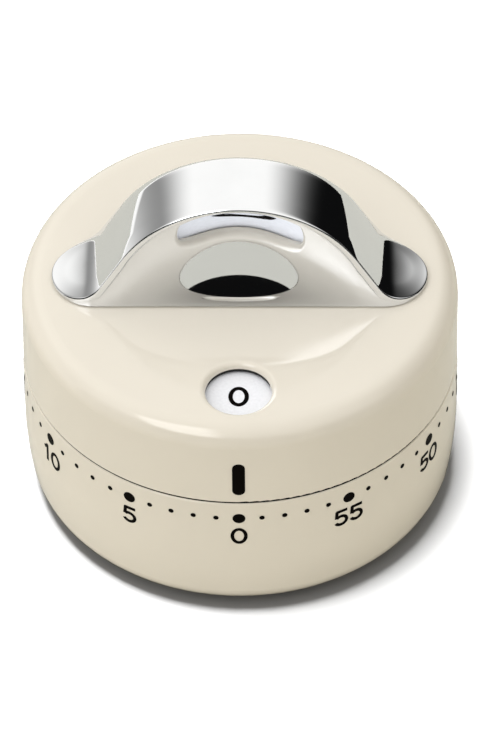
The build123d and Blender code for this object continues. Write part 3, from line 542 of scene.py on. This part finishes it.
class TIMER_OT_stage(bpy.types.Operator):
    """Build the table, the light and the camera"""
    bl_idname = "timer.stage"
    bl_label = "Studio"

    def execute(self, context):
        scene, studio = context.scene, context.scene.timer_studio
        scene.view_settings.view_transform = "Standard"
        self.light_table(scene, studio, self.lay_table(scene, studio))
        self.light_world(scene, studio)
        self.hang_key(scene, studio)
        self.place_camera(scene, studio)
        return {"FINISHED"}

    def lay_table(self, scene, studio):
        """Round table top under the timer."""
        shape = bmesh.new()
        bmesh.ops.create_circle(shape, cap_ends=True, radius=studio.table_radius, segments=96)
        mesh = finish_mesh(shape, "table_top")
        mesh.materials.append(white_paper(studio.bounce, studio.mirror, studio.paper))
        table = bpy.data.objects.new("table_top", mesh)
        scene.collection.objects.link(table)
        return table

    def light_table(self, scene, studio, table):
        """High lamp for the table alone, so that the shadow stays short and the rest turns white."""
        only = bpy.data.collections.new("lit_by_table_lamp")
        only.objects.link(table)
        light = bpy.data.lights.new("table_lamp", "SUN")
        light.energy = studio.table_lamp
        light.angle = studio.table_spread
        lamp = bpy.data.objects.new("table_lamp", light)
        lamp.rotation_euler = Vector(studio.table_fall).to_track_quat("-Z", "Y").to_euler()
        lamp.light_linking.receiver_collection = only
        scene.collection.objects.link(lamp)

    def light_world(self, scene, studio):
        """Tent lit from the left; reflections see it white with a dark corner and a grey one at the back."""
        world = bpy.data.worlds.new("white_tent")
        scene.world = world
        world.use_nodes = True
        tree = world.node_tree
        tree.nodes.clear()
        ray = add_node(tree, "TexCoord").outputs["Generated"]
        paths = add_node(tree, "LightPath").outputs
        side = add_node(tree, "VectorMath", {0: ray, 1: studio.tent_side}, operation="DOT_PRODUCT")
        side = add_node(tree, "MapRange", {"Value": side})
        glow = add_node(tree, "Mix", {"Factor": side, "A": tint(studio.tent_low), "B": (1, 1, 1, 1)},
                        data_type="RGBA")
        tent = add_node(tree, "Background", {"Color": glow, "Strength": studio.ambient})
        patches = self.tent_patches(tree, ray, studio)
        dark = add_node(tree, "Math", {0: patches["right"], 1: patches["left"]}, operation="MAXIMUM")
        dark = add_node(tree, "Math", {0: dark, 1: patches["front"]}, operation="MAXIMUM")
        walls = add_node(tree, "Mix", {"Factor": dark, "A": tint(studio.room_light), "B": tint(studio.room_dark)},
                         data_type="RGBA")
        walls = add_node(tree, "Background", {"Color": walls, "Strength": studio.room})
        strip = add_node(tree, "Background", {"Color": (1, 1, 1, 1), "Strength": patches["softbox"]})
        room = add_node(tree, "AddShader", {0: walls, 1: strip})
        paper = add_node(tree, "Background", {"Color": (1, 1, 1, 1)})
        unseen = add_node(tree, "MixShader", {"Fac": paths["Is Glossy Ray"], 1: tent, 2: room})
        sky = add_node(tree, "MixShader", {"Fac": paths["Is Camera Ray"], 1: unseen, 2: paper})
        add_node(tree, "OutputWorld", {"Surface": sky})

    def tent_patches(self, tree, ray, studio):
        """Dark and bright patches of the tent in reflections, each the product of soft edges that go from 0 to 1.

        Lean is x / (1 + z) of the reflected ray. One slope along the strap gives one lean all across it.
        """
        x, y, z = add_node(tree, "SeparateXYZ", {"Vector": ray}).outputs
        above = add_node(tree, "Math", {0: z, 1: 1.0}, operation="ADD")
        lean = add_node(tree, "Math", {0: x, 1: above}, operation="DIVIDE")
        edges = {
            "back": (y, -0.35, -0.05), "right": (lean, 0.68, 0.14),
            "left": (lean, -0.28, -0.56), "far_left": (lean, -1.2, -0.55), "horizon": (z, -0.12, -0.08),
            "front": (y, -0.05, -0.25), "front_top": (z, 0.5, 0.3),
            "strip_right": (x, -0.10, -0.24), "strip_left": (x, -0.68, -0.58),
            "strip_back": (y, -0.35, -0.45), "strip_foot": (z, 0.33, 0.40),
        }
        soft = {name: add_node(tree, "MapRange", {"Value": value, "From Min": start, "From Max": stop},
                               interpolation_type="SMOOTHSTEP")
                for name, (value, start, stop) in edges.items()}
        lit = add_node(tree, "Math", {0: soft["right"], 1: DEEP_CORNER}, operation="POWER")
        shade = add_node(tree, "Math", {0: 1.0, 1: lit}, operation="SUBTRACT")
        factors = {
            "right": (soft["back"], shade),
            "left": (soft["left"], soft["far_left"], soft["back"], soft["horizon"], GREY_CORNER),
            "front": (soft["front"], soft["front_top"]),
            "softbox": (soft["strip_right"], soft["strip_left"], soft["strip_back"], soft["strip_foot"],
                        studio.softbox),
        }
        patches = {}
        for name, (patch, *others) in factors.items():
            for other in others:
                patch = add_node(tree, "Math", {0: patch, 1: other}, operation="MULTIPLY")
            patches[name] = patch
        return patches

    def hang_key(self, scene, studio):
        """One large soft lamp at the back left, left out of reflections."""
        light = bpy.data.lights.new("key", "AREA")
        light.energy = studio.key
        light.size = studio.key_size
        lamp = bpy.data.objects.new("key", light)
        lamp.location = studio.key_place
        lamp.visible_glossy = False
        fall = Vector((0, 0, studio.key_aim)) - lamp.location
        lamp.rotation_euler = fall.to_track_quat("-Z", "Y").to_euler()
        scene.collection.objects.link(lamp)

    def place_camera(self, scene, studio):
        """Long lens at the photograph's angle, aimed at the axis near the level of the dots."""
        level, around, roll = studio.elevation, studio.azimuth, studio.roll
        back = Vector((math.sin(around) * math.cos(level), -math.cos(around) * math.cos(level), math.sin(level)))
        right = Vector((math.cos(around), math.sin(around), 0))
        up = back.cross(right)
        right, up = (math.cos(roll) * right + math.sin(roll) * up, math.cos(roll) * up - math.sin(roll) * right)
        aim = Vector((0, 0, studio.aim)) - studio.aim_down * up - studio.aim_left * right
        data = bpy.data.cameras.new("camera")
        data.lens = studio.lens
        data.sensor_width = 36
        camera = bpy.data.objects.new("camera", data)
        facing = Matrix((right, up, back)).transposed().to_4x4()
        camera.matrix_world = Matrix.Translation(aim + back * studio.distance) @ facing
        scene.collection.objects.link(camera)
        scene.camera = camera


class TIMER_PT_panel(bpy.types.Panel):
    """Settings and steps of the timer"""
    bl_idname = "TIMER_PT_panel"
    bl_label = "Kitchen timer"
    bl_space_type = "VIEW_3D"
    bl_region_type = "UI"
    bl_category = "Timer"

    def draw(self, context):
        layout = self.layout
        for group in (context.scene.timer_finish, context.scene.timer_grip, context.scene.timer_studio):
            for name in group.__annotations__:
                layout.prop(group, name)
        for step in STEPS:
            layout.operator(step.bl_idname)


STEPS = (TIMER_OT_shells, TIMER_OT_grip, TIMER_OT_marks, TIMER_OT_disc, TIMER_OT_underside, TIMER_OT_movement,
         TIMER_OT_stage)
CLASSES = (TimerFinish, TimerGrip, TimerStudio, *STEPS, TIMER_PT_panel)


def register():
    """Add the settings, the steps and the panel."""
    for cls in CLASSES:
        bpy.utils.register_class(cls)
    bpy.types.Scene.timer_finish = PointerProperty(type=TimerFinish)
    bpy.types.Scene.timer_grip = PointerProperty(type=TimerGrip)
    bpy.types.Scene.timer_studio = PointerProperty(type=TimerStudio)


def unregister():
    """Take them away again."""
    del bpy.types.Scene.timer_studio
    del bpy.types.Scene.timer_grip
    del bpy.types.Scene.timer_finish
    for cls in reversed(CLASSES):
        bpy.utils.unregister_class(cls)


def main():
    """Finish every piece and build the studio."""
    register()
    bpy.ops.timer.shells()
    bpy.ops.timer.grip()
    bpy.ops.timer.marks()
    bpy.ops.timer.disc()
    bpy.ops.timer.underside()
    bpy.ops.timer.movement()
    bpy.ops.timer.stage()


if __name__ == "__main__":
    main()
